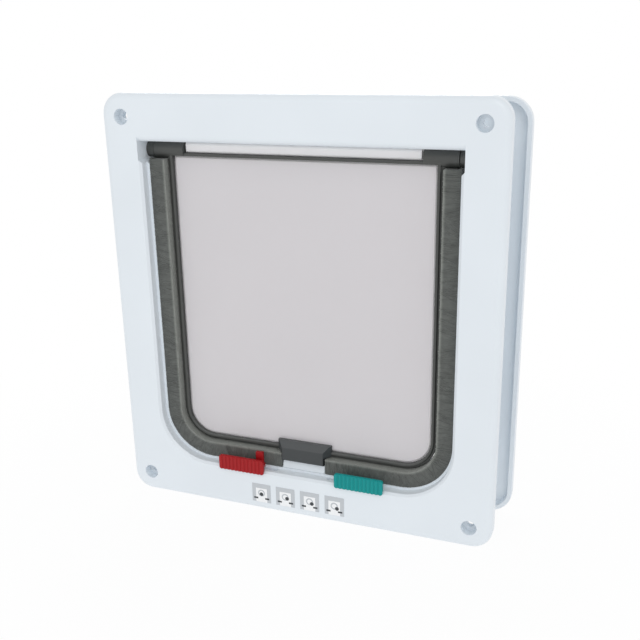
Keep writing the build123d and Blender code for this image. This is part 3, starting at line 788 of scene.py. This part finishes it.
def seen_rays(tree):
    """One where the camera, a reflection or a clear piece sees the surface."""
    rays = add_node(tree, "ShaderNodeLightPath")
    seen = add_node(tree, "ShaderNodeMath", {"operation": "MAXIMUM"}, {
        0: (rays, "Is Camera Ray"), 1: (rays, "Is Glossy Ray")})
    return add_node(tree, "ShaderNodeMath", {"operation": "MAXIMUM"}, {
        0: (seen, "Value"), 1: (rays, "Is Transmission Ray")})


def studio_floor():
    """White studio floor: it bounces light, shows a faint shadow by the part and fades to plain white."""
    material, tree = new_material("studio_floor")
    place = add_node(tree, "ShaderNodeTexCoord")
    far = add_node(tree, "ShaderNodeVectorMath", {"operation": "LENGTH"}, {0: (place, "Object")})
    fade = add_node(tree, "ShaderNodeMapRange", {"interpolation_type": "SMOOTHSTEP"}, {
        "Value": (far, "Value"), "From Min": SHADOW_NEAR, "From Max": SHADOW_FAR, "To Min": SHADOW_SHARE})
    matt = add_node(tree, "ShaderNodeBsdfDiffuse", None, {"Color": rgba(linear(STUDIO_WHITE))})
    glow = add_node(tree, "ShaderNodeEmission", None, {"Strength": 1.0})
    share = add_node(tree, "ShaderNodeMapRange", None, {
        "Value": (seen_rays(tree), "Value"), "To Min": FLOOR_LIGHT, "To Max": (fade, "Result")})
    mix = add_node(tree, "ShaderNodeMixShader", None, {
        "Fac": (share, "Result"), 1: (matt, "BSDF"), 2: (glow, "Emission")})
    add_node(tree, "ShaderNodeOutputMaterial", None, {"Surface": (mix, "Shader")})
    return material


def studio_world():
    """Even white surroundings: white where they are seen, softer as a light."""
    world = bpy.data.worlds.new("studio")
    bpy.context.scene.world = world
    world.use_nodes = True
    tree = world.node_tree
    tree.nodes.clear()
    level = add_node(tree, "ShaderNodeMapRange", None, {
        "Value": (seen_rays(tree), "Value"), "To Min": SKY_LIGHT})
    sky = add_node(tree, "ShaderNodeBackground", None, {
        "Color": (1.0, 1.0, 1.0, 1.0), "Strength": (level, "Result")})
    add_node(tree, "ShaderNodeOutputWorld", None, {"Surface": (sky, "Background")})


def add_lamp(name, place, size, watts, target):
    """A square soft box that faces a target."""
    lamp = bpy.data.lights.new(name, "AREA")
    lamp.size = size
    lamp.energy = watts
    holder = bpy.data.objects.new(name, lamp)
    holder.location = place
    holder.rotation_euler = (target - place).to_track_quat("-Z", "Y").to_euler()
    bpy.context.scene.collection.objects.link(holder)


def add_camera():
    """The photograph's camera."""
    level = math.cos(CAMERA_ELEVATION)
    back = Vector((
        math.sin(CAMERA_AZIMUTH) * level, -math.cos(CAMERA_AZIMUTH) * level, math.sin(CAMERA_ELEVATION),
    ))
    right = back.cross(Vector((0, 0, -1))).normalized()
    up = back.cross(right)
    turn = Matrix((right, up, back)).transposed().to_4x4() @ Matrix.Rotation(-CAMERA_ROLL, 4, "Z")
    camera = bpy.data.cameras.new("camera")
    camera.sensor_width = SENSOR
    camera.lens = LENS
    holder = bpy.data.objects.new("camera", camera)
    holder.matrix_world = Matrix.Translation(CAMERA_PLACE) @ turn
    bpy.context.scene.collection.objects.link(holder)
    bpy.context.scene.camera = holder


class CATFLAP_OT_stage(bpy.types.Operator):
    """Set the plain studio: floor, soft light and the photograph's camera"""
    bl_idname = "catflap.stage"
    bl_label = "Stage"

    def execute(self, context):
        bm = bmesh.new()
        bmesh.ops.create_grid(bm, x_segments=1, y_segments=1, size=FLOOR_HALF)
        floor = link("studio_floor", bm, [studio_floor()])
        middle = (CAD_BOX[0] + CAD_BOX[1]) / 2
        studio_world()
        for name, place, size, watts in LAMPS:
            add_lamp(name, place, size, watts, middle)
        add_camera()
        context.scene.view_settings.view_transform = "Standard"
        return {"FINISHED"}


class CATFLAP_PT_looks(bpy.types.Panel):
    """Sidebar panel of the cat flap's looks"""
    bl_idname = "CATFLAP_PT_looks"
    bl_label = "Cat flap"
    bl_space_type = "VIEW_3D"
    bl_region_type = "UI"
    bl_category = "Cat Flap"

    def draw(self, context):
        for group in (context.scene.cat_flap_sizes, context.scene.cat_flap_colours):
            for name in group.bl_rna.properties.keys():
                if name not in ("rna_type", "name"):
                    self.layout.prop(group, name)
        for operator in OPERATORS:
            self.layout.operator(operator.bl_idname)


OPERATORS = (
    CATFLAP_OT_frames,
    CATFLAP_OT_flap,
    CATFLAP_OT_hinges,
    CATFLAP_OT_magnets,
    CATFLAP_OT_pile,
    CATFLAP_OT_sliders,
    CATFLAP_OT_signs,
    CATFLAP_OT_stage,
)
CLASSES = (CatFlapSizes, CatFlapColours, *OPERATORS, CATFLAP_PT_looks)


def register():
    """Make the operators, the panel and the scene's properties known to Blender."""
    for found in CLASSES:
        bpy.utils.register_class(found)
    bpy.types.Scene.cat_flap_sizes = bpy.props.PointerProperty(type=CatFlapSizes)
    bpy.types.Scene.cat_flap_colours = bpy.props.PointerProperty(type=CatFlapColours)


def unregister():
    """Undo register."""
    del bpy.types.Scene.cat_flap_colours
    del bpy.types.Scene.cat_flap_sizes
    for found in reversed(CLASSES):
        bpy.utils.unregister_class(found)


def main():
    """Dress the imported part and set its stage."""
    register()
    bpy.ops.catflap.frames()
    bpy.ops.catflap.flap()
    bpy.ops.catflap.hinges()
    bpy.ops.catflap.magnets()
    bpy.ops.catflap.pile()
    bpy.ops.catflap.sliders()
    bpy.ops.catflap.signs()
    bpy.ops.catflap.stage()


if __name__ == "__main__":
    main()
